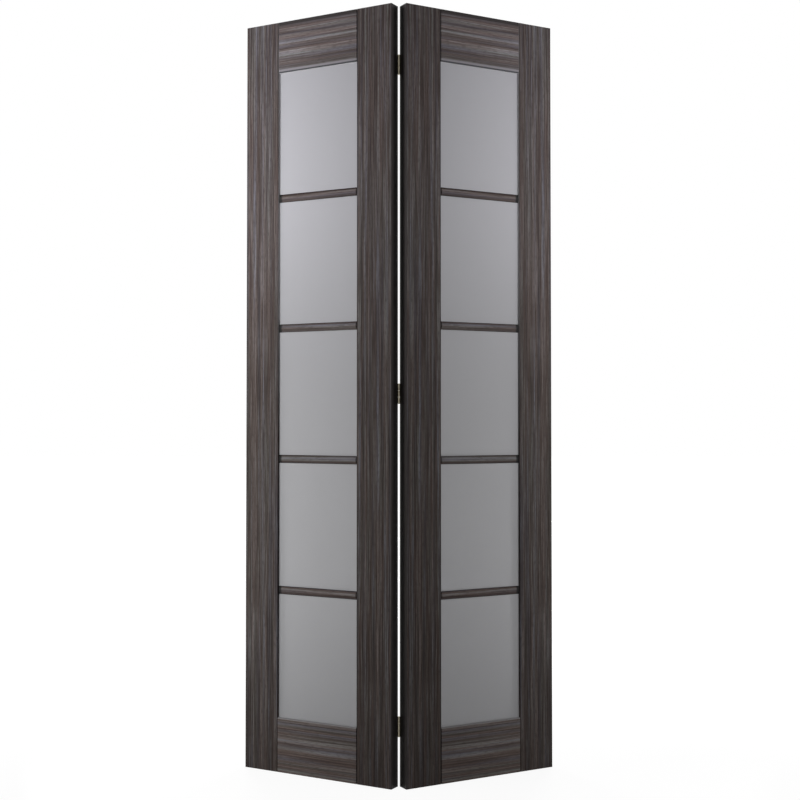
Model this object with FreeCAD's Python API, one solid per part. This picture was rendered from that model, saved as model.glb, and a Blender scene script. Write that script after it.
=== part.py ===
import FreeCAD, Part
import math
import os

# Two mirrored glazed leaves of a folding door, joined by three hinges on the back of the fold, standing
# part folded with the fold towards the viewer. Millimetres, +Z up, origin on the floor at the centre of
# the door's box. Each leaf is drawn in its own frame first: u runs from the fold edge to the jamb edge,
# t from the front face to the back face, and z is the height.

# Leaf, for an opening of 36 by 80 inches
LEAF_WIDTH = 457.2
LEAF_HEIGHT = 2032.0
LEAF_THICKNESS = 35.0
FOLD_ANGLE = 28.9
STILE_WIDTH = 105.7
TOP_RAIL_HEIGHT = 139.7
BOTTOM_RAIL_HEIGHT = 145.7
EDGE_BAND_THICKNESS = 2.0
EDGE_BAND_ARRIS = 0.6
FRAME_ARRIS = 4.0

# Glazing: panes lie on a front lip, with beads behind them
BAR_COUNT = 4
BAR_HEIGHT = 21.8
BAR_CROWN_SETBACK = 1.2
BAR_EDGE_SETBACK = 4.4
BAR_END_BEVEL = 3.0
LIP_THICKNESS = 5.0
REBATE_WIDTH = 7.0
GLASS_THICKNESS = 4.0
GLASS_CLEARANCE = 1.0
BEAD_SETBACK = 1.5
BEAD_SPLAY = 3.0

# Hinges, laid on the back faces with the knuckles standing in the gap between the leaves
FLAT_GAP = 2.3
HINGE_HEIGHT = 51.0
HINGE_END_OFFSET = 153.0
HINGE_PLATE_WIDTH = 25.0
HINGE_PLATE_THICKNESS = 1.2
HINGE_PLATE_CORNER = 4.0
KNUCKLE_RADIUS = 2.7
KNUCKLE_GAP = 0.8
KNUCKLE_CLEARANCE = 0.3
PIN_RADIUS = 1.5
PIN_CLEARANCE = 0.05
PIN_HEAD_RADIUS = 2.4
PIN_HEAD_HEIGHT = 1.2
PIN_HEAD_BEVEL = 0.5
SCREW_HOLE_RADIUS = 2.0
SCREW_SINK_RADIUS = 3.6
SCREW_PITCH = 30.0
SCREW_INSET = 13.5

# Blind bores for the pivots and the guide, in the ends of the jamb stiles
PIVOT_BORE_RADIUS = 4.75
PIVOT_BORE_DEPTH = 45.0
PIVOT_BORE_INSET = 25.0

# Worked out from the sizes above
OPENING_BOTTOM = BOTTOM_RAIL_HEIGHT
OPENING_TOP = LEAF_HEIGHT - TOP_RAIL_HEIGHT
OPENING_NEAR = STILE_WIDTH
OPENING_FAR = LEAF_WIDTH - STILE_WIDTH
PANE_COUNT = BAR_COUNT + 1
PANE_SIGHT_HEIGHT = (OPENING_TOP - OPENING_BOTTOM - BAR_COUNT * BAR_HEIGHT) / PANE_COUNT
BEAD_BACK = LEAF_THICKNESS - BEAD_SETBACK
FOLD = math.radians(FOLD_ANGLE)
AXIS_U = -FLAT_GAP / 2
AXIS_T = LEAF_THICKNESS + KNUCKLE_RADIUS
DOOR_DEPTH = (LEAF_WIDTH - 2 * AXIS_U) * math.sin(FOLD) - (AXIS_T + KNUCKLE_RADIUS) * math.cos(FOLD)
AXIS_Y = -DOOR_DEPTH / 2

ORIGIN = FreeCAD.Vector(0, 0, 0)
UP = FreeCAD.Vector(0, 0, 1)
ALONG_U = FreeCAD.Vector(1, 0, 0)
ALONG_T = FreeCAD.Vector(0, 1, 0)


def block(u_low, u_high, t_low, t_high, z_low, z_high):
    """A box between two values on each axis of the leaf."""
    corner = FreeCAD.Vector(u_low, t_low, z_low)
    return Part.makeBox(u_high - u_low, t_high - t_low, z_high - z_low, corner)


def edges_along(direction, shape, test):
    """The edges of a shape that run along a direction and whose two ends both pass a test."""
    found = []
    for edge in shape.Edges:
        ends = [vertex.Point for vertex in edge.Vertexes]
        run = (ends[-1] - ends[0]).cross(direction).Length
        if len(ends) == 2 and near(run, 0) and all(test(end) for end in ends):
            found.append(edge)
    return found


def near(value, target):
    return abs(value - target) < 1e-6


def pane_span(index):
    """The lowest and highest visible height of a pane, counted from the top."""
    top = OPENING_TOP - index * (PANE_SIGHT_HEIGHT + BAR_HEIGHT)
    return top - PANE_SIGHT_HEIGHT, top


def glazing_rebate():
    """The cutter for the rebate that runs round the opening behind the lip."""
    return block(
        OPENING_NEAR - REBATE_WIDTH, OPENING_FAR + REBATE_WIDTH,
        LIP_THICKNESS, LEAF_THICKNESS,
        OPENING_BOTTOM - REBATE_WIDTH, OPENING_TOP + REBATE_WIDTH,
    )


def stile(u_outer, u_inner):
    """A full-height stile, with its inner front arris rounded from end to end."""
    low, high = sorted((u_outer, u_inner))
    blank = block(low, high, 0, LEAF_THICKNESS, 0, LEAF_HEIGHT)

    def on_arris(point):
        return near(point.y, 0) and near(point.x, u_inner)

    return blank.makeFillet(FRAME_ARRIS, edges_along(UP, blank, on_arris)).cut(glazing_rebate())


def rail(z_outer, z_inner):
    """A rail that butts between the stiles, with its front arris rounded along the opening."""
    low, high = sorted((z_outer, z_inner))
    blank = block(OPENING_NEAR, OPENING_FAR, 0, LEAF_THICKNESS, low, high)

    def on_arris(point):
        return near(point.y, 0) and near(point.z, z_inner)

    return blank.makeFillet(FRAME_ARRIS, edges_along(ALONG_U, blank, on_arris)).cut(glazing_rebate())


def pivot_bore(z_low):
    """A cutter for one blind bore, halfway through the thickness near the jamb edge."""
    foot = FreeCAD.Vector(LEAF_WIDTH - PIVOT_BORE_INSET, LEAF_THICKNESS / 2, z_low)
    return Part.makeCylinder(PIVOT_BORE_RADIUS, PIVOT_BORE_DEPTH, foot, UP)


def frame_members():
    """The stiles and rails of one leaf, with the pivot bores in the ends of the jamb stile."""
    bores = [pivot_bore(0), pivot_bore(LEAF_HEIGHT - PIVOT_BORE_DEPTH)]
    return {
        "fold_stile": stile(EDGE_BAND_THICKNESS, OPENING_NEAR),
        "jamb_stile": stile(LEAF_WIDTH - EDGE_BAND_THICKNESS, OPENING_FAR).cut(bores),
        "top_rail": rail(LEAF_HEIGHT, OPENING_TOP),
        "bottom_rail": rail(0, OPENING_BOTTOM),
    }


def edge_band(u_low, u_edge):
    """The hard strip on a long edge, with its two outer arrises eased."""
    low, high = sorted((u_low, u_edge))
    strip = block(low, high, 0, LEAF_THICKNESS, 0, LEAF_HEIGHT)

    def on_outer_arris(point):
        return near(point.x, u_edge)

    return strip.makeFillet(EDGE_BAND_ARRIS, edges_along(UP, strip, on_outer_arris))


def face_through(points):
    """A flat face with straight sides through a ring of points."""
    return Part.Face(Part.makePolygon(points + points[:1]))


def bar_plan():
    """A bar's outline seen from above, as tall as the leaf, with its front bevelled at both ends."""
    bevel_back = BAR_CROWN_SETBACK + BAR_END_BEVEL
    outline = [
        (OPENING_NEAR, LIP_THICKNESS),
        (OPENING_NEAR, bevel_back),
        (OPENING_NEAR + BAR_END_BEVEL, BAR_CROWN_SETBACK),
        (OPENING_FAR - BAR_END_BEVEL, BAR_CROWN_SETBACK),
        (OPENING_FAR, bevel_back),
        (OPENING_FAR, LIP_THICKNESS),
    ]
    return face_through([FreeCAD.Vector(u, t, 0) for u, t in outline]).extrude(UP * LEAF_HEIGHT)


def glazing_bar(index):
    """A crowned bar below a pane, with a thin web running back between the panes and their beads."""
    top = pane_span(index)[0]
    bottom = top - BAR_HEIGHT
    middle = (top + bottom) / 2

    def at(t, z):
        return FreeCAD.Vector(OPENING_NEAR, t, z)

    crown = Part.Arc(at(BAR_EDGE_SETBACK, bottom), at(BAR_CROWN_SETBACK, middle), at(BAR_EDGE_SETBACK, top))
    corners = [at(BAR_EDGE_SETBACK, top), at(LIP_THICKNESS, top), at(LIP_THICKNESS, bottom)]
    corners.append(at(BAR_EDGE_SETBACK, bottom))
    sides = [Part.makeLine(start, end) for start, end in zip(corners, corners[1:])]
    section = Part.Face(Part.Wire([crown.toShape()] + sides))
    moulding = section.extrude(ALONG_U * (OPENING_FAR - OPENING_NEAR)).common(bar_plan())
    web = block(
        OPENING_NEAR - REBATE_WIDTH, OPENING_FAR + REBATE_WIDTH,
        LIP_THICKNESS, BEAD_BACK,
        bottom + REBATE_WIDTH, top - REBATE_WIDTH,
    )
    return moulding.fuse(web).removeSplitter()


def glass_pane(index):
    """One sheet of glass, lying on the lip and reaching into the rebate on every side."""
    low, high = pane_span(index)
    reach = REBATE_WIDTH - GLASS_CLEARANCE
    return block(
        OPENING_NEAR - reach, OPENING_FAR + reach,
        LIP_THICKNESS, LIP_THICKNESS + GLASS_THICKNESS,
        low - reach, high + reach,
    )


def bead_ring(low, high):
    """The beads behind one pane as one ring, with its inner back arris splayed."""
    deep = (LIP_THICKNESS + GLASS_THICKNESS, BEAD_BACK)
    outer = block(
        OPENING_NEAR - REBATE_WIDTH, OPENING_FAR + REBATE_WIDTH, *deep, low - REBATE_WIDTH, high + REBATE_WIDTH
    )
    ring = outer.cut(block(OPENING_NEAR, OPENING_FAR, *deep, low, high))

    def on_splay(point):
        on_side = near(point.x, OPENING_NEAR) or near(point.x, OPENING_FAR)
        return near(point.y, BEAD_BACK) and on_side and (near(point.z, low) or near(point.z, high))

    return ring.makeChamfer(BEAD_SPLAY, edges_along(UP, ring, on_splay) + edges_along(ALONG_U, ring, on_splay))


def mitre_wedge(inner_start, inner_end, outward):
    """A cutter that holds one side of a bead ring, out to its mitres."""
    along = (inner_end - inner_start).normalize() * REBATE_WIDTH
    reach = outward * REBATE_WIDTH
    outline = [inner_start, inner_end, inner_end + along + reach, inner_start - along + reach]
    return face_through(outline).extrude(ALONG_T * LEAF_THICKNESS)


def beads_behind(low, high):
    """The four mitred beads behind one pane: the two level ones, then the two upright ones."""
    ring = bead_ring(low, high)
    foot_near = FreeCAD.Vector(OPENING_NEAR, 0, low)
    foot_far = FreeCAD.Vector(OPENING_FAR, 0, low)
    head_near = FreeCAD.Vector(OPENING_NEAR, 0, high)
    head_far = FreeCAD.Vector(OPENING_FAR, 0, high)
    wedges = [
        mitre_wedge(foot_near, foot_far, -UP),
        mitre_wedge(head_near, head_far, UP),
        mitre_wedge(foot_near, head_near, -ALONG_U),
        mitre_wedge(foot_far, head_far, ALONG_U),
    ]
    sides = [ring.common(wedge).Solids[0] for wedge in wedges]
    return sides[:2], sides[2:]


def glazing_beads():
    """All the level beads of a leaf, and all its upright ones."""
    level, upright = [], []
    for index in range(PANE_COUNT):
        level_pair, upright_pair = beads_behind(*pane_span(index))
        level += level_pair
        upright += upright_pair
    return Part.makeCompound(level), Part.makeCompound(upright)


def leaf_pieces():
    """Every piece of one leaf in the leaf's own frame, by name."""
    pieces = frame_members()
    pieces["fold_edge_band"] = edge_band(EDGE_BAND_THICKNESS, 0)
    pieces["jamb_edge_band"] = edge_band(LEAF_WIDTH - EDGE_BAND_THICKNESS, LEAF_WIDTH)
    for index in range(BAR_COUNT):
        pieces[f"bar_{index + 1}"] = glazing_bar(index)
    for index in range(PANE_COUNT):
        pieces[f"pane_{index + 1}"] = glass_pane(index)
    pieces["cross_beads"], pieces["upright_beads"] = glazing_beads()
    return pieces


def screw_hole(u, z):
    """A cutter for one countersunk hole through a plate, wide at the back."""
    foot = FreeCAD.Vector(u, LEAF_THICKNESS, z)
    return Part.makeCone(SCREW_HOLE_RADIUS, SCREW_SINK_RADIUS, HINGE_PLATE_THICKNESS, foot, ALONG_T)


def hinge_plate(knuckles):
    """A plate on the back of a leaf with the knuckles it carries, of the three in the hinge."""
    half = HINGE_HEIGHT / 2
    back = LEAF_THICKNESS + HINGE_PLATE_THICKNESS
    notch_edge = AXIS_U + KNUCKLE_RADIUS + KNUCKLE_CLEARANCE
    plate = block(notch_edge, HINGE_PLATE_WIDTH, LEAF_THICKNESS, back, -half, half)

    corners = edges_along(ALONG_T, plate, lambda point: near(point.x, HINGE_PLATE_WIDTH))
    plate = plate.makeFillet(HINGE_PLATE_CORNER, corners)
    pitch = (HINGE_HEIGHT + KNUCKLE_GAP) / 3
    height = pitch - KNUCKLE_GAP
    for place in knuckles:
        foot = -half + place * pitch
        tongue = block(AXIS_U, notch_edge, LEAF_THICKNESS, back, foot, foot + height)
        axis_foot = FreeCAD.Vector(AXIS_U, AXIS_T, foot)
        barrel = Part.makeCylinder(KNUCKLE_RADIUS, height, axis_foot, UP)
        plate = plate.fuse([tongue, barrel])
    eye_foot = FreeCAD.Vector(AXIS_U, AXIS_T, -half)
    eye = Part.makeCylinder(PIN_RADIUS + PIN_CLEARANCE, HINGE_HEIGHT, eye_foot, UP)
    holes = [screw_hole(SCREW_INSET, z) for z in (-SCREW_PITCH / 2, SCREW_PITCH / 2)]
    return plate.cut([eye] + holes).removeSplitter()


def hinge_pin():
    """The pin on the fold's axis, with a low bevelled head at each end."""
    half = HINGE_HEIGHT / 2
    shaft = Part.makeCylinder(PIN_RADIUS, HINGE_HEIGHT, FreeCAD.Vector(AXIS_U, AXIS_T, -half), UP)
    heads = []
    for foot, outer in ((half, half + PIN_HEAD_HEIGHT), (-half - PIN_HEAD_HEIGHT, -half - PIN_HEAD_HEIGHT)):
        head = Part.makeCylinder(PIN_HEAD_RADIUS, PIN_HEAD_HEIGHT, FreeCAD.Vector(AXIS_U, AXIS_T, foot), UP)
        rim = [edge for edge in head.Edges if len(edge.Vertexes) == 1 and near(edge.Vertexes[0].Z, outer)]
        heads.append(head.makeChamfer(PIN_HEAD_BEVEL, rim))
    return shaft.fuse(heads).removeSplitter()


def hang_right(shape):
    """Turn a shape of the leaf's frame about the hinge axis to its place on the right."""
    moved = shape.translated(FreeCAD.Vector(-AXIS_U, -AXIS_T, 0))
    return moved.rotated(ORIGIN, UP, FOLD_ANGLE).translated(FreeCAD.Vector(0, AXIS_Y, 0))


def hang_left(shape):
    """The mirror image of a shape hung on the right."""
    return hang_right(shape).mirror(ORIGIN, ALONG_U)


def door():
    """Every piece of the door in its place, by node name."""
    nodes = {}
    for name, shape in leaf_pieces().items():
        nodes[f"left_{name}"] = hang_left(shape)
        nodes[f"right_{name}"] = hang_right(shape)
    outer_plate = hang_left(hinge_plate((0, 2)))
    middle_plate = hang_right(hinge_plate((1,)))
    pin = hang_right(hinge_pin())
    heights = {
        "top": LEAF_HEIGHT - HINGE_END_OFFSET,
        "middle": LEAF_HEIGHT / 2,
        "bottom": HINGE_END_OFFSET,
    }
    for name, height in heights.items():
        rise = UP * height
        nodes[f"{name}_hinge_left_plate"] = outer_plate.translated(rise)
        nodes[f"{name}_hinge_right_plate"] = middle_plate.translated(rise)
        nodes[f"{name}_hinge_pin"] = pin.translated(rise)
    return nodes


def main():
    """Write each piece to its own file and print its size."""
    os.makedirs("parts", exist_ok=True)
    whole = FreeCAD.BoundBox()
    for name, shape in door().items():
        whole.add(shape.BoundBox)
        print(f"{name}: valid {shape.isValid()}, solids {len(shape.Solids)}, {shape.Volume / 1000:.1f} cm3")
        shape.exportStep(f"parts/{name}.step")
    print(f"x {whole.XMin:.2f} to {whole.XMax:.2f}, y {whole.YMin:.2f} to {whole.YMax:.2f}")
    print(f"z {whole.ZMin:.2f} to {whole.ZMax:.2f}")


if __name__ == "__main__":
    main()
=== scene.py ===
"""Finishes, small fasteners, studio and camera for a glass folding door that stands part folded.

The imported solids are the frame. Each leaf of the door is described in its own space: u runs from the
fold edge to the jamb edge, t from the front face to the back face, and z is the height, in metres. The
left leaf mirrors the right one, so both share that space.
"""

import logging
import math
from dataclasses import dataclass, field
from enum import Enum

import bmesh
import bpy
from mathutils import Matrix, Vector

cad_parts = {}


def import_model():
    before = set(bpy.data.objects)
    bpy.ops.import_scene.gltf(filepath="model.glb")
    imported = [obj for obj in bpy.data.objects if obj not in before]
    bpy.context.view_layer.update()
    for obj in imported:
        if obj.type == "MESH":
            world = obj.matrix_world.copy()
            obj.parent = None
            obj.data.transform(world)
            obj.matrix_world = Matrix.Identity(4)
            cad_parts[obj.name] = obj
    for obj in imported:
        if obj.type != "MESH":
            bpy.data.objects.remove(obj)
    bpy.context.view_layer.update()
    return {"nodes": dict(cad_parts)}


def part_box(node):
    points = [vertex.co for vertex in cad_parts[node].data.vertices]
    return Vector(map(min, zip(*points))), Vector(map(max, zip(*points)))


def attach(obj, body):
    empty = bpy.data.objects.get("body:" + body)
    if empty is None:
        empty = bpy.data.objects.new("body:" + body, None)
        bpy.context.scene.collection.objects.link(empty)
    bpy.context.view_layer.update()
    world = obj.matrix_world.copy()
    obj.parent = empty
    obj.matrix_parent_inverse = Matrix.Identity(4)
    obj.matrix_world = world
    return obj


LOG = logging.getLogger("folding_door")
BODY = "root"

Colour = tuple[float, float, float]
Point = tuple[float, float, float]
Range = tuple[float, float]
Tree = bpy.types.NodeTree
Node = bpy.types.Node
Socket = bpy.types.NodeSocket
Material = bpy.types.Material
Mesh = bmesh.types.BMesh

# Turns a shape that faces up so that it faces the back of its leaf
TO_BACK = Matrix.Rotation(-math.pi / 2, 4, "X")


class Side(Enum):
    """The two leaves, by the sign of their x."""

    LEFT = -1
    RIGHT = 1


class Grain(Enum):
    """The direction in which a member's grain runs."""

    UPRIGHT = "upright"
    LEVEL = "level"


@dataclass(frozen=True)
class LeafSizes:
    """The sizes of one leaf and its place about the fold, as the solids have them."""

    width: float = 0.4572
    height: float = 2.032
    thickness: float = 0.035
    fold_angle: float = math.radians(28.9)
    stile_width: float = 0.1057
    top_rail_height: float = 0.1397
    bottom_rail_height: float = 0.1457
    bar_height: float = 0.0218
    bar_count: int = 4
    lip_thickness: float = 0.005
    glass_thickness: float = 0.004
    rebate_width: float = 0.007
    bead_setback: float = 0.0015
    flat_gap: float = 0.0023
    knuckle_radius: float = 0.0027

    @property
    def pane_count(self) -> int:
        """The panes of a leaf, one more than its bars."""
        return self.bar_count + 1

    @property
    def opening(self) -> Range:
        """The sides of the opening between the stiles, measured from the fold edge."""
        return self.stile_width, self.width - self.stile_width

    @property
    def axis_u(self) -> float:
        """The fold's axis, measured from the fold edge."""
        return -self.flat_gap / 2

    @property
    def axis_t(self) -> float:
        """The fold's axis, measured from the front face."""
        return self.thickness + self.knuckle_radius

    @property
    def axis_y(self) -> float:
        """The fold's axis in the door's frame, whose origin is the middle of its box."""
        reach = (self.width - 2 * self.axis_u) * math.sin(self.fold_angle)
        return -(reach - (self.axis_t + self.knuckle_radius) * math.cos(self.fold_angle)) / 2

    def matrix(self, side: Side) -> Matrix:
        """The transform from leaf space to the door's frame.

        Args:
            side: The leaf.

        Returns:
            A 4 by 4 matrix, which mirrors on the left.
        """
        mirror = Matrix.Scale(side.value, 4, Vector((1, 0, 0)))
        turn = Matrix.Rotation(self.fold_angle, 4, "Z")
        hinge = Matrix.Translation((0, self.axis_y, 0))
        return mirror @ hinge @ turn @ Matrix.Translation((-self.axis_u, -self.axis_t, 0))

    def pane_span(self, index: int) -> Range:
        """The visible foot and head of a pane.

        Args:
            index: The pane, counted from the top.

        Returns:
            The lower and upper height.
        """
        opening_top = self.height - self.top_rail_height
        clear = opening_top - self.bottom_rail_height - self.bar_count * self.bar_height
        pane = clear / self.pane_count
        top = opening_top - index * (pane + self.bar_height)
        return top - pane, top


LEAF = LeafSizes()
OPENING_FOOT = LEAF.pane_span(LEAF.bar_count)[0]
OPENING_HEAD = LEAF.pane_span(0)[1]


class NodeDesk:
    """A short way to add and join shader nodes in one tree."""

    def __init__(self, tree: Tree) -> None:
        """Keep the tree that the nodes go to."""
        self.tree = tree

    def add(self, kind: str, settings: dict | None = None, **inputs: object) -> Node:
        """Add a node, set it and join its inputs.

        Args:
            kind: The node's type name, without the leading ShaderNode.
            settings: Properties of the node.
            **inputs: A socket to join or a value to set, by input name with spaces as underscores, or
                by place, such as i0.

        Returns:
            The new node.
        """
        node = self.tree.nodes.new(f"ShaderNode{kind}")
        for name, value in (settings or {}).items():
            setattr(node, name, value)
        for name, value in inputs.items():
            is_place = name[0] == "i" and name[1:].isdigit()
            socket = node.inputs[int(name[1:]) if is_place else name.replace("_", " ")]
            self.feed(socket, value)
        return node

    def feed(self, socket: Socket, value: object) -> None:
        """Join a socket to another, or set its value.

        Args:
            socket: The socket that takes the value.
            value: A socket to join, or a value to set.
        """
        if isinstance(value, bpy.types.NodeSocket):
            self.tree.links.new(value, socket)
        else:
            socket.default_value = value

    def math(self, operation: str, first: object, second: object = 0.0, third: object = 0.0) -> Socket:
        """Add a Math node and return its value."""
        node = self.add("Math", {"operation": operation}, i0=first, i1=second, i2=third)
        return node.outputs[0]

    def blend(self, factor: object, first: object, second: object, mode: str = "MIX") -> Socket:
        """Mix two colours and return the result."""
        settings = {"data_type": "RGBA", "blend_type": mode, "clamp_factor": True}
        return self.add("Mix", settings, i0=factor, i6=first, i7=second).outputs[2]

    def stretch(
        self, value: object, low: float, high: float, to_low: float = 0.0, to_high: float = 1.0
    ) -> Socket:
        """Map a value from one range to another, clamped, and return it."""
        node = self.add("MapRange", {"clamp": True}, i0=value, i1=low, i2=high, i3=to_low, i4=to_high)
        return node.outputs[0]

    def vector(self, operation: str, first: object, second: object = (0.0, 0.0, 0.0)) -> Socket:
        """Add a Vector Math node and return its vector."""
        return self.add("VectorMath", {"operation": operation}, i0=first, i1=second).outputs[0]

    def noise(self, position: object, scales: Point, detail: float = 2.0, roughness: float = 0.5) -> Socket:
        """Add a noise texture, with its own scale on each axis, and return its value."""
        place = self.vector("MULTIPLY", position, scales)
        node = self.add("TexNoise", None, Vector=place, Scale=1.0, Detail=detail, Roughness=roughness)
        return node.outputs[0]

    def group(self, tree: Tree, **inputs: object) -> Node:
        """Place a node group.

        Args:
            tree: The group.
            **inputs: A socket to join or a value to set, by input name.

        Returns:
            The new node.
        """
        node = self.tree.nodes.new("ShaderNodeGroup")
        node.node_tree = tree
        for name, value in inputs.items():
            self.feed(node.inputs[name], value)
        return node

    def relief(self, surface: Node, strength: float, distance: float, height: Socket) -> None:
        """Give a surface shader a bump of this strength and depth in metres."""
        bump = self.add("Bump", None, Strength=strength, Distance=distance, Height=height)
        self.feed(surface.inputs["Normal"], bump.outputs[0])


def open_group(name: str, takes: dict[str, str], gives: dict[str, str]) -> tuple[NodeDesk, Node, Node]:
    """Start a shader node group with named sockets.

    Args:
        name: The group's name.
        takes: Input names and the kind of each, such as Float, Color or Vector.
        gives: Output names and the kind of each.

    Returns:
        A desk on the group, its input node and its output node.
    """
    tree = bpy.data.node_groups.new(name, "ShaderNodeTree")
    for label, kind in takes.items():
        tree.interface.new_socket(label, in_out="INPUT", socket_type=f"NodeSocket{kind}")
    for label, kind in gives.items():
        tree.interface.new_socket(label, in_out="OUTPUT", socket_type=f"NodeSocket{kind}")
    desk = NodeDesk(tree)
    return desk, tree.nodes.new("NodeGroupInput"), tree.nodes.new("NodeGroupOutput")


@dataclass(frozen=True)
class GrainLayer:
    """One noise of the printed grain.

    Attributes:
        scales: Its scale across the grain, through the leaf and along the grain.
        detail: The noise's detail.
        roughness: The noise's roughness.
        low: The noise value that the layer shows as 0.
        high: The noise value that the layer shows as 1.
    """

    scales: Point
    detail: float
    roughness: float
    low: float
    high: float


GRAIN_LAYERS: dict[str, GrainLayer] = {
    "Streak": GrainLayer((210.0, 70.0, 2.0), 3.0, 0.65, 0.36, 0.64),
    "Band": GrainLayer((70.0, 20.0, 1.6), 1.0, 0.5, 0.34, 0.66),
    "Line": GrainLayer((360.0, 120.0, 6.0), 2.0, 0.65, 0.41, 0.59),
    "Warmth": GrainLayer((110.0, 25.0, 2.2), 1.0, 0.5, 0.38, 0.62),
    "Chill": GrainLayer((110.0, 31.0, 1.6), 1.0, 0.5, 0.48, 0.66),
    "Pore": GrainLayer((600.0, 400.0, 60.0), 1.0, 0.4, 0.50, 0.66),
}


@dataclass(frozen=True)
class GrainDrift:
    """How the grain wanders from straight.

    Attributes:
        scales: The scale of the wandering, on the axes of a grain layer.
        detail: The noise's detail.
        middle: The noise value at which the grain isn't moved.
        layer_spacing: How far apart along the grain the layers read their noise, so that they differ.
    """

    scales: Point = (6.0, 2.0, 4.2)
    detail: float = 3.0
    middle: float = 0.5
    layer_spacing: float = 3.7


@dataclass(frozen=True)
class ToneRecipe:
    """How the laminate's plan and grain add up to its tone, and how that tone shows.

    Attributes:
        plan_share: The share of the member's planned streaks in the tone.
        streak_share: The share of the noise streaks.
        band_share: The share of the broad bands.
        dark_to_brown: The tones between which dark turns to brown.
        brown_to_grey: The tones between which brown turns to grey.
        grey_to_pale: The tones between which grey turns to pale.
        pore_share: How far a pore darkens the print.
        height_share: The share of the tone in the relief, beside the pores.
        sheen_tones: The tones between which the roughness changes.
        roughness: The roughness at each of those tones.
    """

    plan_share: float = 0.34
    streak_share: float = 0.31
    band_share: float = 0.10
    dark_to_brown: Range = (0.175, 0.455)
    brown_to_grey: Range = (0.425, 0.645)
    grey_to_pale: Range = (0.625, 0.905)
    pore_share: float = 0.40
    height_share: float = 0.5
    sheen_tones: Range = (0.2, 0.9)
    roughness: Range = (0.56, 0.46)


class Effects:
    """The shader node groups that several finishes share."""

    drift = GrainDrift()
    recipe = ToneRecipe()

    def __init__(self) -> None:
        """Build each group once."""
        self.leaf_space = self._leaf_space()
        self.grain = self._grain()
        self.laminate_tone = self._laminate_tone()

    def _leaf_space(self) -> Tree:
        """Turn the door's coordinates into the space of either leaf.

        Returns:
            The node group.
        """
        desk, takes, gives = open_group("leaf_space", {"Position": "Vector"}, {"Place": "Vector"})
        position = takes.outputs["Position"]
        folded = desk.add("SeparateXYZ", None, i0=desk.vector("ABSOLUTE", position)).outputs
        true = desk.add("SeparateXYZ", None, i0=position).outputs
        mirrored = desk.add("CombineXYZ", None, i0=folded[0], i1=true[1], i2=true[2]).outputs[0]
        from_axis = desk.vector("SUBTRACT", mirrored, (0, LEAF.axis_y, 0))
        settings = {"rotation_type": "Z_AXIS"}
        turned = desk.add("VectorRotate", settings, Vector=from_axis, Angle=-LEAF.fold_angle).outputs[0]
        desk.feed(gives.inputs["Place"], desk.vector("ADD", turned, (LEAF.axis_u, LEAF.axis_t, 0)))
        return desk.tree

    def _grain(self) -> Tree:
        """The layers of printed oak, at a place whose x crosses the grain and whose z follows it.

        Returns:
            The node group.
        """
        desk, takes, gives = open_group(
            "printed_grain",
            {"Place": "Vector", "Seed": "Float", "Wander": "Float"},
            {"Cross": "Float", **dict.fromkeys(GRAIN_LAYERS, "Float")},
        )
        own_place, seed, wander = (takes.outputs[name] for name in ("Place", "Seed", "Wander"))
        shift = desk.add("CombineXYZ", None, i0=seed, i1=seed).outputs[0]
        place = desk.vector("ADD", own_place, shift)
        drift = desk.noise(place, self.drift.scales, self.drift.detail)
        drift = desk.math("MULTIPLY", desk.math("SUBTRACT", drift, self.drift.middle), wander)
        bent = desk.vector("ADD", place, desk.add("CombineXYZ", None, i0=drift).outputs[0])
        across = desk.add("SeparateXYZ", None, i0=own_place).outputs[0]
        desk.feed(gives.inputs["Cross"], desk.math("ADD", across, drift))
        for turn, (name, layer) in enumerate(GRAIN_LAYERS.items()):
            apart = desk.vector("ADD", bent, (0.0, 0.0, self.drift.layer_spacing * turn))
            value = desk.noise(apart, layer.scales, layer.detail, layer.roughness)
            desk.feed(gives.inputs[name], desk.stretch(value, layer.low, layer.high))
        return desk.tree

    def _laminate_tone(self) -> Tree:
        """Colour, relief and roughness of the laminate, from its streak plan and its grain.

        Returns:
            The node group.
        """
        values = ("Plan", *GRAIN_LAYERS, "Fine")
        colours = ("Dark", "Brown", "Grey", "Pale", "Warm", "Green", "Cool")
        desk, takes, gives = open_group(
            "laminate_tone",
            {**dict.fromkeys(values, "Float"), **dict.fromkeys(colours, "Color")},
            {"Color": "Color", "Height": "Float", "Roughness": "Float"},
        )
        given, recipe = takes.outputs, self.recipe
        tone = desk.math("MULTIPLY", given["Plan"], recipe.plan_share)
        shares = {"Streak": recipe.streak_share, "Band": recipe.band_share, "Line": given["Fine"]}
        for name, share in shares.items():
            tone = desk.math("MULTIPLY_ADD", given[name], share, tone)
        low = desk.blend(desk.stretch(tone, *recipe.dark_to_brown), given["Dark"], given["Brown"])
        middle = desk.blend(desk.stretch(tone, *recipe.brown_to_grey), low, given["Grey"])
        high = desk.blend(desk.stretch(tone, *recipe.grey_to_pale), middle, given["Pale"])
        hue = desk.blend(given["Warmth"], given["Green"], given["Warm"])
        hue = desk.blend(given["Chill"], hue, given["Cool"])
        tinted = desk.blend(1.0, high, hue, "MULTIPLY")
        pores = desk.math("MULTIPLY", given["Pore"], recipe.pore_share)
        desk.feed(gives.inputs["Color"], desk.blend(pores, tinted, given["Dark"]))
        height = desk.math("SUBTRACT", desk.math("MULTIPLY", tone, recipe.height_share), given["Pore"])
        desk.feed(gives.inputs["Height"], height)
        roughness = desk.stretch(tone, *recipe.sheen_tones, *recipe.roughness)
        desk.feed(gives.inputs["Roughness"], roughness)
        return desk.tree


@dataclass(frozen=True)
class Streak:
    """One printed streak: its distance from the member's first edge, in metres, and its tone."""

    at: float
    tone: float


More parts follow.
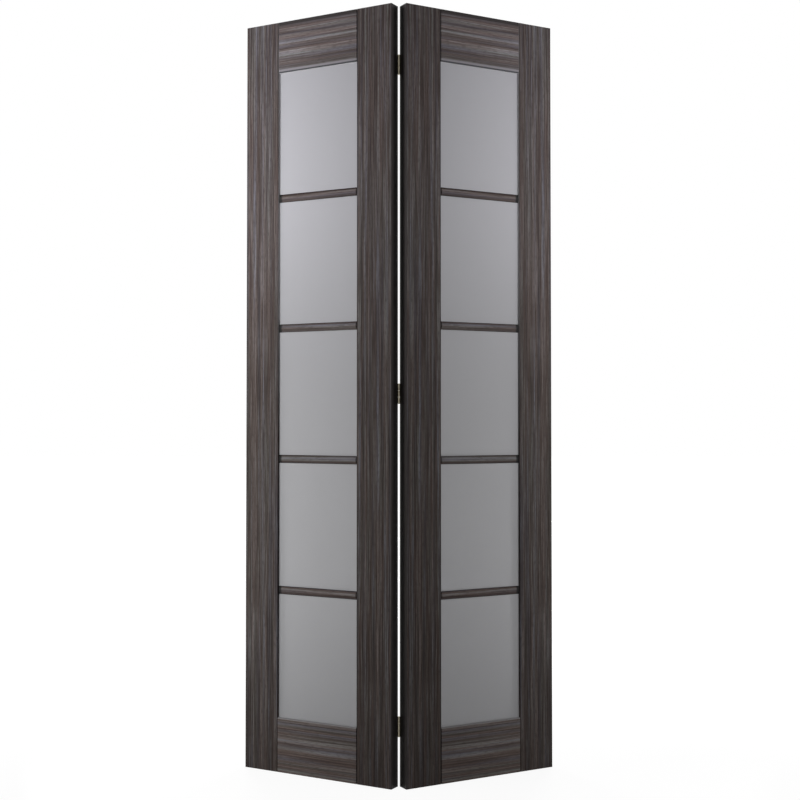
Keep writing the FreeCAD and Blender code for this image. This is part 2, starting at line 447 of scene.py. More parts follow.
@dataclass(frozen=True)
class Line:
    """A straight line of painted shade or painted light where a member's face turns at an edge.

    Attributes:
        at: Its middle, in metres from the member's first edge.
        half_width: Half its width at full strength.
        strength: How far it covers the laminate, from 0 to 1.
        colour: Its colour.
        fade: The width over which it fades out on each side.
        from_height: The height at which it starts.
        to_height: The height at which it ends.
        height_fade: The length over which it fades out beyond each end.
    """

    at: float
    half_width: float
    strength: float
    colour: Colour
    fade: float = 0.001
    from_height: float = -1.0
    to_height: float = 3.0
    height_fade: float = 0.002


@dataclass(frozen=True)
class Member:
    """How the laminate lies on one kind of member.

    Attributes:
        name: The member, in its finish's name.
        grain: The direction of its grain.
        start: Its first edge across the grain, in leaf space.
        width: Its width across the grain.
        seed: A shift that gives it its own stretch of the print.
        streaks: The broad streaks across it.
        lines: The lines of painted shade and painted light along its grain.
        repeat: The distance from one such member to the next, or 0 where there is only one.
        painted_end_shadows: The painted shadows across its ends, in metres from the fold edge.
        painted_light_scale: Painted light: how much lighter or darker than the plain laminate it shows, by
            colour.
        wander: How far its streaks drift sideways, in metres.
        fine: The share of the fine lines in its tone.
    """

    name: str
    grain: Grain
    start: float
    width: float
    seed: float
    streaks: tuple[Streak, ...]
    lines: tuple[Line, ...] = ()
    repeat: float = 0.0
    painted_end_shadows: tuple[Line, ...] = ()
    painted_light_scale: Colour = (1.0, 1.0, 1.0)
    wander: float = 0.006
    fine: float = 0.36


def streaks(*pairs: tuple[float, float]) -> tuple[Streak, ...]:
    """Streaks from pairs of millimetres and tone."""
    return tuple(Streak(at / 1000, tone) for at, tone in pairs)


# Colours laid in lines over the laminate: painted shade, painted highlights, painted light over a joint and
# on the lip beside the glass, and the painted shadow at the bars' ends.
SHADE: Colour = (0.012, 0.010, 0.0095)
COOL_SHADE: Colour = (0.036, 0.038, 0.041)
PAINTED_HIGHLIGHT: Colour = (0.205, 0.196, 0.204)
PAINTED_ARRIS_HIGHLIGHT: Colour = (0.30, 0.295, 0.30)
PAINTED_JOINT_LIGHT: Colour = (0.20, 0.18, 0.175)
PAINTED_LIP_LIGHT: Colour = (0.62, 0.61, 0.62)
PAINTED_END_SHADOW: Colour = (0.003, 0.0028, 0.0027)

FOLD_STILE = Member(
    "fold_stile", Grain.UPRIGHT, 0.0, LEAF.stile_width, 0.0,
    streaks(
        (2, 0.75), (6, 0.3), (14, 0.85), (20, 0.7), (27, 0.1), (38, 0.8), (48, 0.35), (60, 0.3),
        (72, 0.35), (78, 0.8), (86, 0.05), (94, 0.65), (101, 0.55), (105, 0.1),
    ),
    # Painted shade along the inner edge beside the glass.
    (Line(0.1045, 0.0022, 0.75, SHADE),),
    painted_light_scale=(0.95, 0.945, 0.925),
)
JAMB_STILE = Member(
    "jamb_stile", Grain.UPRIGHT, LEAF.width - LEAF.stile_width, LEAF.stile_width, 1.7,
    streaks(
        (1, 0.4), (8, 0.5), (18, 0.25), (28, 0.45), (42, 0.5), (53, 0.85), (62, 0.2), (70, 0.35),
        (79, 0.9), (88, 0.45), (96, 0.4), (104, 0.2),
    ),
    (
        # Painted light over the joint with the top rail and along the upper inner edge beside the glass,
        # fading out downwards, and painted shade along the lower inner edge.
        Line(0.0, 0.0012, 0.55, PAINTED_JOINT_LIGHT, 0.0014, from_height=OPENING_HEAD),
        Line(
            0.0, 0.0006, 0.9, PAINTED_LIP_LIGHT, 0.0012, from_height=1.25, to_height=OPENING_HEAD, height_fade=0.35
        ),
        Line(0.0, 0.0006, 0.3, SHADE, 0.0016, from_height=OPENING_FOOT, to_height=1.2, height_fade=0.2),
    ),
    painted_light_scale=(0.97, 0.97, 0.95),
)
TOP_RAIL = Member(
    "top_rail", Grain.LEVEL, LEAF.height - LEAF.top_rail_height, LEAF.top_rail_height, 3.1,
    streaks(
        (5, 0.6), (9, 0.55), (22, 0.4), (34, 0.15), (48, 0.85), (56, 0.75), (68, 0.4),
        (80, 0.9), (84, 0.85), (88, 0.15), (95, 0.9), (106, 0.3), (120, 0.55), (130, 0.45), (138, 0.0),
    ),
    (
        # Painted highlight above the lower arris, painted shade on the arris, painted light under the lip
        # and painted shade along the top edge.
        Line(0.0066, 0.0024, 0.95, PAINTED_HIGHLIGHT, 0.0015),
        Line(0.0020, 0.0017, 0.95, COOL_SHADE, 0.0010),
        Line(0.0, 0.0003, 0.8, PAINTED_LIP_LIGHT, 0.0004),
        Line(LEAF.top_rail_height, 0.0080, 0.75, SHADE, 0.0040),
    ),
    # Painted light: the rails show far lighter than the stiles.
    painted_light_scale=(2.05, 2.25, 2.35),
    wander=0.004,
    fine=0.14,
)
BOTTOM_RAIL = Member(
    "bottom_rail", Grain.LEVEL, 0.0, LEAF.bottom_rail_height, 5.3,
    streaks(
        (4, 0.5), (20, 0.35), (28, 0.6), (38, 0.35), (47, 0.05), (56, 0.5), (68, 0.8), (80, 0.45),
        (92, 0.85), (104, 0.1), (112, 0.3), (124, 0.25), (134, 0.45), (141, 0.5),
    ),
    # Painted highlight on the upper arris.
    (Line(0.1448, 0.0012, 0.75, PAINTED_ARRIS_HIGHLIGHT, 0.0020),),
    # Painted light: the bottom rail lighter still, to make up for less light near the floor.
    painted_light_scale=(2.62, 2.90, 2.98),
    wander=0.004,
    fine=0.14,
)
BAR = Member(
    "bar", Grain.LEVEL, LEAF.pane_span(LEAF.bar_count)[1], LEAF.bar_height, 7.9,
    # These streaks paint a highlight along the bar's middle and shade towards its top and bottom edges.
    streaks(
        (0, 0.3), (3, 0.35), (6, 0.45), (9, 0.75), (12, 0.95), (15, 0.95), (17, 0.6), (19, 0.2),
        (21.8, 0.05),
    ),
    # Painted shade along the top and bottom edges.
    (Line(0.0, 0.0010, 0.5, SHADE), Line(LEAF.bar_height, 0.0020, 0.5, SHADE)),
    repeat=LEAF.pane_span(0)[0] - LEAF.pane_span(1)[0],
    # Painted shadow over the bar's end at the jamb stile.
    painted_end_shadows=(Line(LEAF.opening[1], 0.0075, 0.98, PAINTED_END_SHADOW, 0.0045),),
    painted_light_scale=(1.66, 1.72, 1.75),
    wander=0.002,
    fine=0.16,
)
BEAD = Member("bead", Grain.UPRIGHT, 0.0, LEAF.width, 9.4, streaks((0, 0.45), (450, 0.45)))
CROSS_BEAD = Member("cross_bead", Grain.LEVEL, 0.0, LEAF.height, 11.2, streaks((0, 0.45), (2000, 0.45)))


def opaque(colour: Colour, lift: float = 1.0) -> tuple[float, float, float, float]:
    """A colour as a shader takes it, made lighter by a factor."""
    red, green, blue = colour
    return lift * red, lift * green, lift * blue, 1.0


@dataclass(frozen=True)
class LaminateFinish:
    """Grey-brown streaky oak laminate with a satin face."""

    dark: Colour = (0.0200, 0.0142, 0.0128)
    brown: Colour = (0.0480, 0.0368, 0.0335)
    grey: Colour = (0.0720, 0.0622, 0.0590)
    pale: Colour = (0.136, 0.129, 0.132)
    warm: Colour = (1.10, 0.97, 0.92)
    green: Colour = (0.98, 1.01, 0.98)
    cool: Colour = (0.95, 0.99, 1.13)
    relief: float = 0.10
    relief_depth: float = 0.0004
    specular: float = 0.10

    def material(self, effects: Effects, member: Member) -> Material:
        """Build the laminate for one kind of member.

        Args:
            effects: The shared node groups.
            member: The member, with its grain direction and streaks.

        Returns:
            The material.
        """
        material, desk, surface = blank_material(f"laminate_{member.name}")
        place = leaf_place(desk, effects)
        parts = desk.add("SeparateXYZ", None, i0=place)
        across, along = parts.outputs[0], parts.outputs[2]
        if member.grain is Grain.LEVEL:
            across, along = along, across
        start = desk.math("SUBTRACT", across, member.start)
        grain_place = desk.add("CombineXYZ", None, i0=start, i1=parts.outputs[1], i2=along).outputs[0]
        grain = desk.group(effects.grain, Place=grain_place, Seed=member.seed, Wander=member.wander)
        cross = grain.outputs["Cross"]
        if member.repeat:
            reach = member.repeat - member.width
            cross = desk.math("WRAP", cross, reach, -member.width)
            start = desk.math("WRAP", start, reach, -member.width)
        shades = {"Dark": self.dark, "Brown": self.brown, "Grey": self.grey, "Pale": self.pale}
        hues = {"Warm": self.warm, "Green": self.green, "Cool": self.cool}
        tone = desk.group(
            effects.laminate_tone,
            Plan=self._plan(desk, member, cross),
            Fine=member.fine,
            **{name: grain.outputs[name] for name in GRAIN_LAYERS},
            **{name: self._with_painted_light(member, colour) for name, colour in shades.items()},
            **{name: opaque(colour) for name, colour in hues.items()},
        )
        colour = tone.outputs["Color"]
        # Lay the lines of painted shade and light along the member and the painted shadows across its ends.
        for distance, lines in ((start, member.lines), (along, member.painted_end_shadows)):
            for line in lines:
                colour = self._paint_light_or_shade_line(desk, colour, distance, parts.outputs[2], line)
        desk.feed(surface.inputs["Base Color"], colour)
        desk.feed(surface.inputs["Roughness"], tone.outputs["Roughness"])
        surface.inputs["Specular IOR Level"].default_value = self.specular
        desk.relief(surface, self.relief, self.relief_depth, tone.outputs["Height"])
        return material

    def _with_painted_light(self, member: Member, colour: Colour) -> tuple[float, float, float, float]:
        """One of the finish's colours, made lighter or darker by the member's painted light."""
        red, green, blue = (share * part for share, part in zip(member.painted_light_scale, colour))
        return red, green, blue, 1.0

    def _paint_light_or_shade_line(
        self, desk: NodeDesk, colour: Socket, distance: Socket, height: Socket, line: Line
    ) -> Socket:
        """Lay a straight line of painted shade or painted light over the laminate.

        Args:
            desk: The material's desk.
            colour: The colour under the line.
            distance: The distance from the edge that the line is measured from.
            height: The height of the shaded point.
            line: The line.

        Returns:
            The new colour.
        """
        off = desk.math("ABSOLUTE", desk.math("SUBTRACT", distance, line.at))
        mask = desk.stretch(off, line.half_width, line.half_width + line.fade, line.strength, 0.0)
        above = desk.stretch(height, line.from_height - line.height_fade, line.from_height)
        below = desk.stretch(height, line.to_height, line.to_height + line.height_fade, 1.0, 0.0)
        mask = desk.math("MULTIPLY", mask, desk.math("MULTIPLY", above, below))
        return desk.blend(mask, colour, opaque(line.colour))

    def _plan(self, desk: NodeDesk, member: Member, across: Socket) -> Socket:
        """A ramp of the member's own streaks across its grain.

        Args:
            desk: The material's desk.
            member: The member.
            across: The distance across the grain from the member's first edge.

        Returns:
            The planned tone, from 0, dark, to 1, pale.
        """
        share = desk.math("DIVIDE", across, member.width)
        ramp = desk.add("ValToRGB", None, Fac=share)
        stops = ramp.color_ramp.elements
        for place, streak in enumerate(member.streaks):
            share_at = min(max(streak.at / member.width, 0.0), 1.0)
            stop = stops[place] if place < len(stops) else stops.new(share_at)
            stop.position = share_at
            stop.color = (streak.tone, streak.tone, streak.tone, 1)
        return ramp.outputs[0]


@dataclass(frozen=True)
class EdgeBandFinish:
    """Near-black hard edging with a faint grain."""

    colour: Colour = (0.044, 0.0395, 0.0378)
    roughness: float = 0.36
    specular: float = 0.05
    grain_seed: float = 4.4
    grain_wander: float = 0.002
    grain_share: float = 0.4
    grain_lift: float = 1.5
    relief: float = 0.05
    relief_depth: float = 0.0003

    def material(self, effects: Effects) -> Material:
        """Build the edging.

        Args:
            effects: The shared node groups.

        Returns:
            The material.
        """
        material, desk, surface = blank_material("edge_band")
        place = leaf_place(desk, effects)
        grain = desk.group(effects.grain, Place=place, Seed=self.grain_seed, Wander=self.grain_wander)
        amount = desk.math("MULTIPLY", grain.outputs["Line"], self.grain_share)
        colour = desk.blend(amount, opaque(self.colour), opaque(self.colour, self.grain_lift))
        desk.feed(surface.inputs["Base Color"], colour)
        surface.inputs["Roughness"].default_value = self.roughness
        surface.inputs["Specular IOR Level"].default_value = self.specular
        desk.relief(surface, self.relief, self.relief_depth, grain.outputs["Streak"])
        return material


@dataclass(frozen=True)
class FrostedGlassFinish:
    """Satin-etched glass, cool and nearly even, which lets light through and shows no shapes."""

    colour: Colour = (0.318, 0.317, 0.328)
    transmission: float = 0.18
    specular: float = 0.7
    refraction: float = 1.5
    cloud_scales: Point = (5.0, 5.0, 5.0)
    cloud_lift: float = 1.04
    frost_scales: Point = (1800.0, 1800.0, 1800.0)
    frost_values: Range = (0.3, 0.7)
    roughness: Range = (0.56, 0.68)
    relief: float = 0.06
    relief_depth: float = 0.0002

    def material(self, effects: Effects) -> Material:
        """Build the glass.

        Args:
            effects: The shared node groups.

        Returns:
            The material.
        """
        material, desk, surface = blank_material("frosted_glass")
        place = leaf_place(desk, effects)
        cloud = desk.noise(place, self.cloud_scales)
        colour = desk.blend(cloud, opaque(self.colour), opaque(self.colour, self.cloud_lift))
        desk.feed(surface.inputs["Base Color"], colour)
        frost = desk.noise(place, self.frost_scales, detail=1.0)
        desk.feed(surface.inputs["Roughness"], desk.stretch(frost, *self.frost_values, *self.roughness))
        desk.relief(surface, self.relief, self.relief_depth, frost)
        surface.inputs["Transmission Weight"].default_value = self.transmission
        surface.inputs["Specular IOR Level"].default_value = self.specular
        surface.inputs["IOR"].default_value = self.refraction
        return material


@dataclass(frozen=True)
class HingeMetalFinish:
    """Pale satin-plated brass with fine brushing and a little tarnish."""

    bright: Colour = (0.46, 0.42, 0.32)
    tarnish: Colour = (0.33, 0.295, 0.215)
    name: str = "hinge_metal"
    stain_scales: Point = (120.0, 120.0, 90.0)
    stain_detail: float = 3.0
    stain_roughness: float = 0.6
    stain_values: Range = (0.45, 0.7)
    brush_scales: Point = (900.0, 900.0, 6000.0)
    brush_values: Range = (0.2, 0.8)
    roughness: Range = (0.32, 0.48)
    relief: float = 0.05
    relief_depth: float = 0.0001

    def material(self, effects: Effects) -> Material:
        """Build the metal.

        Args:
            effects: The shared node groups.

        Returns:
            The material.
        """
        material, desk, surface = blank_material(self.name)
        place = leaf_place(desk, effects)
        stain = desk.noise(place, self.stain_scales, self.stain_detail, self.stain_roughness)
        amount = desk.stretch(stain, *self.stain_values)
        colour = desk.blend(amount, opaque(self.bright), opaque(self.tarnish))
        desk.feed(surface.inputs["Base Color"], colour)
        brush = desk.noise(place, self.brush_scales, detail=1.0)
        desk.feed(surface.inputs["Roughness"], desk.stretch(brush, *self.brush_values, *self.roughness))
        desk.relief(surface, self.relief, self.relief_depth, brush)
        surface.inputs["Metallic"].default_value = 1.0
        return material


SCREW_FINISH = HingeMetalFinish((0.50, 0.49, 0.42), (0.28, 0.27, 0.21), "screw_metal")
PIN_FINISH = HingeMetalFinish((0.17, 0.155, 0.14), (0.09, 0.08, 0.07), "pin_metal")


@dataclass(frozen=True)
class SealantFinish:
    """Translucent grey glazing sealant."""

    colour: Colour = (0.16, 0.16, 0.165)
    ripple_scales: Point = (70.0, 70.0, 70.0)
    ripple_lift: float = 1.25
    ripple_values: Range = (0.2, 0.8)
    roughness: Range = (0.35, 0.5)
    relief: float = 0.2
    relief_depth: float = 0.0005

    def material(self, effects: Effects) -> Material:
        """Build the sealant.

        Args:
            effects: The shared node groups.

        Returns:
            The material.
        """
        material, desk, surface = blank_material("glazing_sealant")
        ripple = desk.noise(leaf_place(desk, effects), self.ripple_scales)
        colour = desk.blend(ripple, opaque(self.colour), opaque(self.colour, self.ripple_lift))
        desk.feed(surface.inputs["Base Color"], colour)
        desk.feed(surface.inputs["Roughness"], desk.stretch(ripple, *self.ripple_values, *self.roughness))
        desk.relief(surface, self.relief, self.relief_depth, ripple)
        return material


def blank_material(name: str) -> tuple[Material, NodeDesk, Node]:
    """A new material with one surface shader.

    Args:
        name: The material's name.

    Returns:
        The material, a desk on its nodes and its Principled BSDF.
    """
    material = bpy.data.materials.new(name)
    material.use_nodes = True
    return material, NodeDesk(material.node_tree), material.node_tree.nodes["Principled BSDF"]


def leaf_place(desk: NodeDesk, effects: Effects) -> Socket:
    """The shaded point in the space of its leaf."""
    coordinates = desk.add("TexCoord")
    return desk.group(effects.leaf_space, Position=coordinates.outputs["Object"]).outputs["Place"]


@dataclass
class Wardrobe:
    """All the door's finishes, and which piece wears which."""

    effects: Effects = field(default_factory=Effects)
    laminate: LaminateFinish = LaminateFinish()

    def __post_init__(self) -> None:
        """Build each material once, under the word that the names of its pieces hold."""
        members = {
            "fold_stile": FOLD_STILE, "jamb_stile": JAMB_STILE, "top_rail": TOP_RAIL,
            "bottom_rail": BOTTOM_RAIL, "bar": BAR, "upright_beads": BEAD, "cross_beads": CROSS_BEAD,
        }
        finishes = {
            "edge_band": EdgeBandFinish(), "pane": FrostedGlassFinish(), "hinge": HingeMetalFinish(),
            "screw": SCREW_FINISH, "pin": PIN_FINISH, "sealant": SealantFinish(),
        }
        self.worn = {
            word: self.laminate.material(self.effects, member) for word, member in members.items()
        } | {word: finish.material(self.effects) for word, finish in finishes.items()}

    def dress(self, nodes: dict[str, bpy.types.Object]) -> None:
        """Give every solid of the frame its finish.

        Args:
            nodes: The frame's objects by node name.
        """
        for name, piece in nodes.items():
            key = next(key for key in self.worn if key in name)
            wear(piece, self.worn[key])
            LOG.info("%s wears %s", name, self.worn[key].name)


def wear(piece: bpy.types.Object, material: Material) -> None:
    """Put one material on a whole piece."""
    piece.data.materials.clear()
    piece.data.materials.append(material)


def linked(name: str, mesh: Mesh) -> bpy.types.Object:
    """Put a bmesh in the scene as an object.

    Args:
        name: The object's name.
        mesh: The finished bmesh, which is freed.

    Returns:
        The new object.
    """
    data = bpy.data.meshes.new(name)
    mesh.to_mesh(data)
    mesh.free()
    thing = bpy.data.objects.new(name, data)
    bpy.context.scene.collection.objects.link(thing)
    return thing


def ride_as(name: str, mesh: Mesh, material: Material) -> None:
    """Finish a bmesh as a piece of the door.

    Args:
        name: The piece's name.
        mesh: The finished bmesh, which is freed.
        material: Its finish.
    """
    bmesh.ops.recalc_face_normals(mesh, faces=mesh.faces)
    piece = linked(name, mesh)
    wear(piece, material)
    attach(piece, BODY)
    LOG.info("%s has %d faces", name, len(piece.data.polygons))


def join(whole: Mesh, part: Mesh) -> None:
    """Add one bmesh to another and free it.

    Args:
        whole: The bmesh that grows.
        part: The bmesh that goes into it.
    """
    data = bpy.data.meshes.new("part")
    part.to_mesh(data)
    part.free()
    whole.from_mesh(data)
    bpy.data.meshes.remove(data)


def extruded_points(made: dict[str, list]) -> list[bmesh.types.BMVert]:
    """The new vertices of an extrusion."""
    return [part for part in made["geom"] if isinstance(part, bmesh.types.BMVert)]


def spaced(low: float, high: float, pitch: float) -> list[float]:
    """Even places between two ends, about a pitch apart and half a step in from each end."""
    count = round((high - low) / pitch)
    return [low + (step + 0.5) * (high - low) / count for step in range(count)]


@dataclass
class HingeScrews:
    """Countersunk cross-head screws in the hinge plates.

    Their heads lie a sink below the plate's face. Each recess points its own way: by a first turn, a turn
    more for the next screw on the plate, and a turn for the side, in radians.
    """

    head_radius: float = 0.0034
    plate_thickness: float = 0.0012
    neck_radius: float = 0.0019
    segments: int = 28
    recess_half_length: float = 0.0019
    recess_half_width: float = 0.00045
    recess_depth: float = 0.0009
    recess_slope: float = 0.0001
    sink: float = 0.00005
    inset: float = 0.0135
    pitch: float = 0.030
    first_turn: float = 0.5
    next_turn: float = 0.9
    side_turn: float = 0.4

    def centres(self) -> list[tuple[float, float]]:
        """Where the screws stand on a plate, from the fold edge and from its middle height."""
        return [(self.inset, -self.pitch / 2), (self.inset, self.pitch / 2)]

    def head(self) -> Mesh:
        """One screw head, facing +Z, with its flat face at z = 0.

        Returns:
            The head as a bmesh.
        """
        mesh = bmesh.new()
        bmesh.ops.create_circle(mesh, cap_ends=True, segments=self.segments, radius=self.head_radius)
        for axis in (Vector((1, 0, 0)), Vector((0, 1, 0))):
            for reach in (self.recess_half_length, self.recess_half_width):
                for sign in (-1, 1):
                    parts = mesh.verts[:] + mesh.edges[:] + mesh.faces[:]
                    bmesh.ops.bisect_plane(mesh, geom=parts, plane_co=axis * reach * sign, plane_no=axis)
        recess = [face for face in mesh.faces if self._in_recess(face.calc_center_median())]
        rim = [edge for edge in mesh.edges if edge.is_boundary]
        low = extruded_points(bmesh.ops.extrude_edge_only(mesh, edges=rim))
        bmesh.ops.translate(mesh, verts=low, vec=(0, 0, -self.plate_thickness))
        shrink = self.neck_radius / self.head_radius
        bmesh.ops.scale(mesh, verts=low, vec=(shrink, shrink, 1))
        bmesh.ops.holes_fill(mesh, edges=[edge for edge in mesh.edges if edge.is_boundary])
        bmesh.ops.inset_region(mesh, faces=recess, thickness=self.recess_slope, depth=-self.recess_depth)
        return mesh

    def _in_recess(self, point: Vector) -> bool:
        """Whether a point of the head's face lies in the cross.

        Args:
            point: The point, from the middle of the head.

        Returns:
            True inside the cross.
        """
        longer = max(abs(point.x), abs(point.y))
        shorter = min(abs(point.x), abs(point.y))
        return longer < self.recess_half_length and shorter < self.recess_half_width

    def build(self, wardrobe: Wardrobe, hinges: dict[str, float]) -> None:
        """Make the screws of every plate.

        Args:
            wardrobe: The finishes.
            hinges: Hinge names and the height of each.
        """
        surface = LEAF.thickness + self.plate_thickness - self.sink
        for hinge, height in hinges.items():
            for side in Side:
                screws = bmesh.new()
                for turn, (u, z) in enumerate(self.centres()):
                    head = self.head()
                    angle = self.first_turn + self.next_turn * turn + self.side_turn * side.value
                    spot = Matrix.Translation((u, surface, height + z))
                    matrix = LEAF.matrix(side) @ spot @ TO_BACK @ Matrix.Rotation(angle, 4, "Z")
                    bmesh.ops.transform(head, matrix=matrix, verts=head.verts)
                    join(screws, head)
                name = f"{hinge}_hinge_{side.name.lower()}_screws"
                ride_as(name, screws, wardrobe.worn["screw"])


@dataclass
class GlazingTrim:
    """Sealant lines and small pin heads behind the panes."""

    sealant_width: float = 0.0016
    sealant_height: float = 0.0012
    pin_radius: float = 0.0009
    pin_height: float = 0.0003
    pin_taper: float = 0.7
    pin_segments: int = 10
    pin_pitch: float = 0.11

    def sealant(self, index: int) -> Mesh:
        """A thin ring of sealant where the beads meet the back of a pane.

        Args:
            index: The pane, counted from the top.

        Returns:
            The ring in leaf space.
        """
        low, high = LEAF.pane_span(index)
        near, far = LEAF.opening
        back = LEAF.lip_thickness + LEAF.glass_thickness
        mesh = bmesh.new()
        bmesh.ops.create_grid(mesh, x_segments=1, y_segments=1, size=0.5)
        bmesh.ops.scale(mesh, verts=mesh.verts, vec=(far - near, high - low, 1))
        bmesh.ops.inset_region(
            mesh, faces=mesh.faces[:], thickness=self.sealant_width, use_boundary=True, use_even_offset=True
        )
        middle = min(mesh.faces, key=lambda face: face.calc_center_median().length)
        bmesh.ops.delete(mesh, geom=[middle], context="FACES_ONLY")
        top = extruded_points(bmesh.ops.extrude_face_region(mesh, geom=mesh.faces[:]))
        bmesh.ops.translate(mesh, verts=top, vec=(0, 0, self.sealant_height))
        spot = Matrix.Translation(((near + far) / 2, back, (low + high) / 2))
        bmesh.ops.transform(mesh, matrix=spot @ TO_BACK, verts=mesh.verts)
        return mesh

    def pin_places(self) -> list[tuple[float, float]]:
        """Where the pins stand on the beads.

        Returns:
            The u and z of each pin.
        """
        middle = LEAF.rebate_width / 2
        near, far = LEAF.opening
        places = []
        for index in range(LEAF.pane_count):
            low, high = LEAF.pane_span(index)
            for z in spaced(low, high, self.pin_pitch):
                places += [(near - middle, z), (far + middle, z)]
            for u in spaced(near, far, self.pin_pitch):
                places += [(u, low - middle), (u, high + middle)]
        return places

    def build(self, wardrobe: Wardrobe) -> None:
        """Make the sealant and the pins of both leaves.

        Args:
            wardrobe: The finishes.
        """
        surface = LEAF.thickness - LEAF.bead_setback
        for side in Side:
            place = LEAF.matrix(side)
            rings = bmesh.new()
            for index in range(LEAF.pane_count):
                join(rings, self.sealant(index))
            bmesh.ops.transform(rings, matrix=place, verts=rings.verts)
            name = side.name.lower()
            ride_as(f"{name}_glazing_sealant", rings, wardrobe.worn["sealant"])
            pins = bmesh.new()
            for u, z in self.pin_places():
                spot = Matrix.Translation((u, surface + self.pin_height / 2, z))
                bmesh.ops.create_cone(
                    pins, cap_ends=True, segments=self.pin_segments, radius1=self.pin_radius,
                    radius2=self.pin_taper * self.pin_radius, depth=self.pin_height,
                    matrix=place @ spot @ TO_BACK,
                )
            ride_as(f"{name}_bead_pins", pins, wardrobe.worn["pin"])


COOL_WHITE: Colour = (1.0, 0.985, 1.05)


@dataclass(frozen=True)
class SoftLight:
    """One soft lamp: a glowing panel of a width and a height that faces a point."""

    name: str
    place: Point
    aim: Point
    size: tuple[float, float]
    watts: float
    colour: Colour = (1.0, 1.0, 1.0)

    def build(self) -> None:
        """Hang the lamp."""
        data = bpy.data.lights.new(self.name, "AREA")
        data.shape = "RECTANGLE"
        data.size, data.size_y = self.size
        data.energy = self.watts
        data.color = self.colour
        lamp = bpy.data.objects.new(self.name, data)
        lamp.location = self.place
        way = Vector(self.aim) - Vector(self.place)
        lamp.rotation_euler = way.to_track_quat("-Z", "Y").to_euler()
        bpy.context.scene.collection.objects.link(lamp)


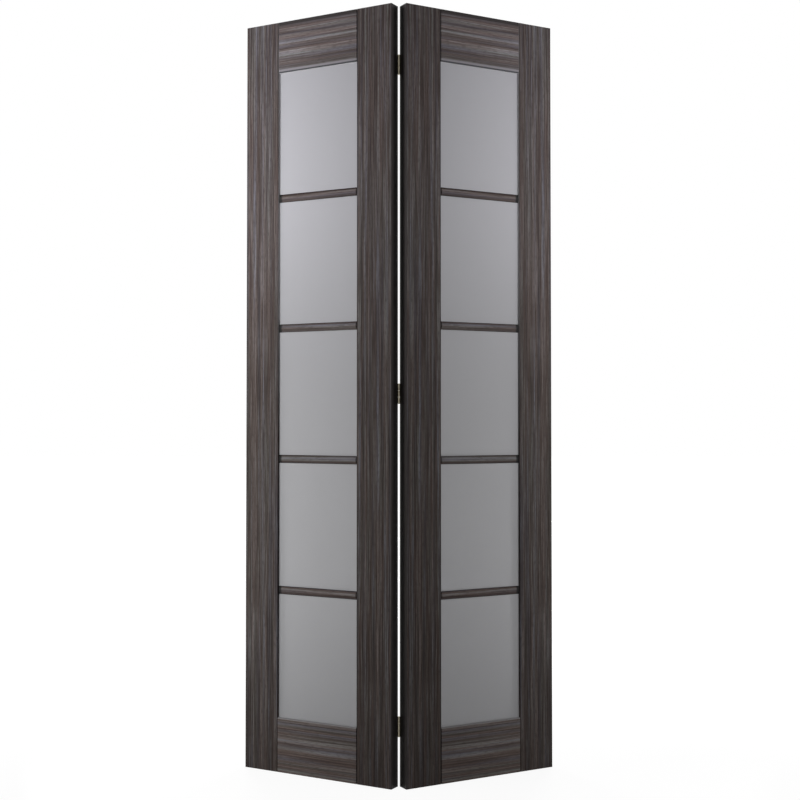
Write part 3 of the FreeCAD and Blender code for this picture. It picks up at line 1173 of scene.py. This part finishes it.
@dataclass
class Studio:
    """A pale floor, a white surround, soft lamps and the camera at the photograph's angle.

    The floor shows its own colour and shadow to the camera up to the first distance of shadow_reach, mixed
    with floor_share of white, and plain white from the second distance on.
    """

    frame_pixels: float = 800.0
    focal_pixels: float = 1303.3
    optical_centre: tuple[float, float] = (398.88, 388.9)
    camera_distance: float = 3.49
    camera_height: float = 0.947
    camera_pitch: float = 0.024
    sensor: float = 36.0
    floor_size: float = 60.0
    floor_colour: Colour = (0.60, 0.60, 0.60)
    floor_roughness: float = 0.9
    floor_white: float = 1.08
    floor_share: float = 0.86
    shadow_reach: Range = (0.8, 2.2)
    world_light: float = 0.10
    lamps: tuple[SoftLight, ...] = (
        SoftLight("left_high_panel", (-1.1, -0.28, 1.9), (-0.3, 0.0, 2.4), (0.6, 1.2), 12.2, COOL_WHITE),
        SoftLight("right_high_panel", (1.1, -0.28, 1.9), (0.3, 0.0, 2.4), (0.6, 1.2), 8.0, COOL_WHITE),
        SoftLight("left_middle_panel", (-1.1, -0.28, 1.3), (-0.3, 0.0, 1.6), (0.6, 1.2), 2.6),
        SoftLight("right_middle_panel", (1.1, -0.28, 1.3), (0.3, 0.0, 1.6), (0.6, 1.2), 2.8),
        SoftLight("left_low_panel", (-1.1, -0.28, 0.7), (-0.3, 0.0, 0.9), (0.6, 1.2), 6.9),
        SoftLight("right_low_panel", (1.1, -0.28, 0.7), (0.3, 0.0, 0.9), (0.6, 1.2), 3.2),
        SoftLight("back_left_high_panel", (-0.93, 2.4, 2.2), (0.0, 0.0, 1.6), (0.8, 1.0), 8.0),
        SoftLight("back_right_high_panel", (0.93, 2.4, 2.2), (0.0, 0.0, 1.6), (0.8, 1.0), 8.0),
        SoftLight("back_left_low_panel", (-0.93, 2.4, 0.26), (0.0, 0.0, 0.1), (0.8, 0.46), 62.0),
        SoftLight("back_right_low_panel", (0.93, 2.4, 0.26), (0.0, 0.0, 0.1), (0.8, 0.46), 62.0),
    )

    def build(self) -> None:
        """Make the whole studio."""
        self._camera()
        self._floor()
        self._world()
        for lamp in self.lamps:
            lamp.build()
        bpy.context.scene.view_settings.view_transform = "Standard"

    def _camera(self) -> None:
        """Set the camera where the photograph was taken from."""
        data = bpy.data.cameras.new("camera")
        data.sensor_width = self.sensor
        data.lens = self.focal_pixels * self.sensor / self.frame_pixels
        middle = self.frame_pixels / 2
        data.shift_x = (middle - self.optical_centre[0]) / self.frame_pixels
        data.shift_y = (self.optical_centre[1] - middle) / self.frame_pixels
        camera = bpy.data.objects.new("camera", data)
        camera.location = (0.0, -self.camera_distance, self.camera_height)
        camera.rotation_euler = (math.pi / 2 + self.camera_pitch, 0.0, 0.0)
        bpy.context.scene.collection.objects.link(camera)
        bpy.context.scene.camera = camera

    def _floor(self) -> None:
        """Lay a pale floor that shows white to the camera and keeps a soft shadow."""
        mesh = bmesh.new()
        bmesh.ops.create_grid(mesh, x_segments=1, y_segments=1, size=self.floor_size / 2)
        floor = linked("floor", mesh)
        material, desk, surface = blank_material("floor")
        surface.inputs["Base Color"].default_value = opaque(self.floor_colour)
        surface.inputs["Roughness"].default_value = self.floor_roughness
        glow = desk.add("Emission", None, Color=(1, 1, 1, 1), Strength=self.floor_white)
        coordinates = desk.add("TexCoord")
        reach = desk.add("VectorMath", {"operation": "LENGTH"}, i0=coordinates.outputs["Object"])
        white = desk.stretch(reach.outputs["Value"], *self.shadow_reach, self.floor_share, 1.0)
        share = desk.math("MULTIPLY", seen_directly(desk), white)
        mix = desk.add("MixShader", None, i0=share, i1=surface.outputs[0], i2=glow.outputs[0])
        desk.feed(desk.tree.nodes["Material Output"].inputs["Surface"], mix.outputs[0])
        wear(floor, material)

    def _world(self) -> None:
        """A white surround for the eye and a plain grey one for light."""
        world = bpy.data.worlds.new("surround")
        world.use_nodes = True
        bpy.context.scene.world = world
        desk = NodeDesk(world.node_tree)
        background = world.node_tree.nodes["Background"]
        background.inputs["Color"].default_value = (1, 1, 1, 1)
        strength = desk.stretch(seen_directly(desk), 0.0, 1.0, self.world_light, 1.0)
        desk.feed(background.inputs["Strength"], strength)


def seen_directly(desk: NodeDesk) -> Socket:
    """Tell a ray that shows the scene from one that lights it.

    Args:
        desk: The desk of the material or the world.

    Returns:
        1 where the ray comes from the camera or by way of gloss or glass, and 0 for light on the object.
    """
    path = desk.add("LightPath")
    mirrored = desk.math("MAXIMUM", path.outputs["Is Glossy Ray"], path.outputs["Is Transmission Ray"])
    return desk.math("MAXIMUM", path.outputs["Is Camera Ray"], mirrored)


def main() -> None:
    """Dress the door, add what is too small for the solids and set up the studio."""
    logging.basicConfig(level=logging.INFO, format="%(name)s: %(message)s")
    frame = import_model()
    wardrobe = Wardrobe()
    wardrobe.dress(frame["nodes"])
    hinges = {}
    for hinge in ("top", "middle", "bottom"):
        low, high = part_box(f"{hinge}_hinge_pin")
        hinges[hinge] = (low.z + high.z) / 2
    HingeScrews().build(wardrobe, hinges)
    GlazingTrim().build(wardrobe)
    Studio().build()


if __name__ == "__main__":
    main()
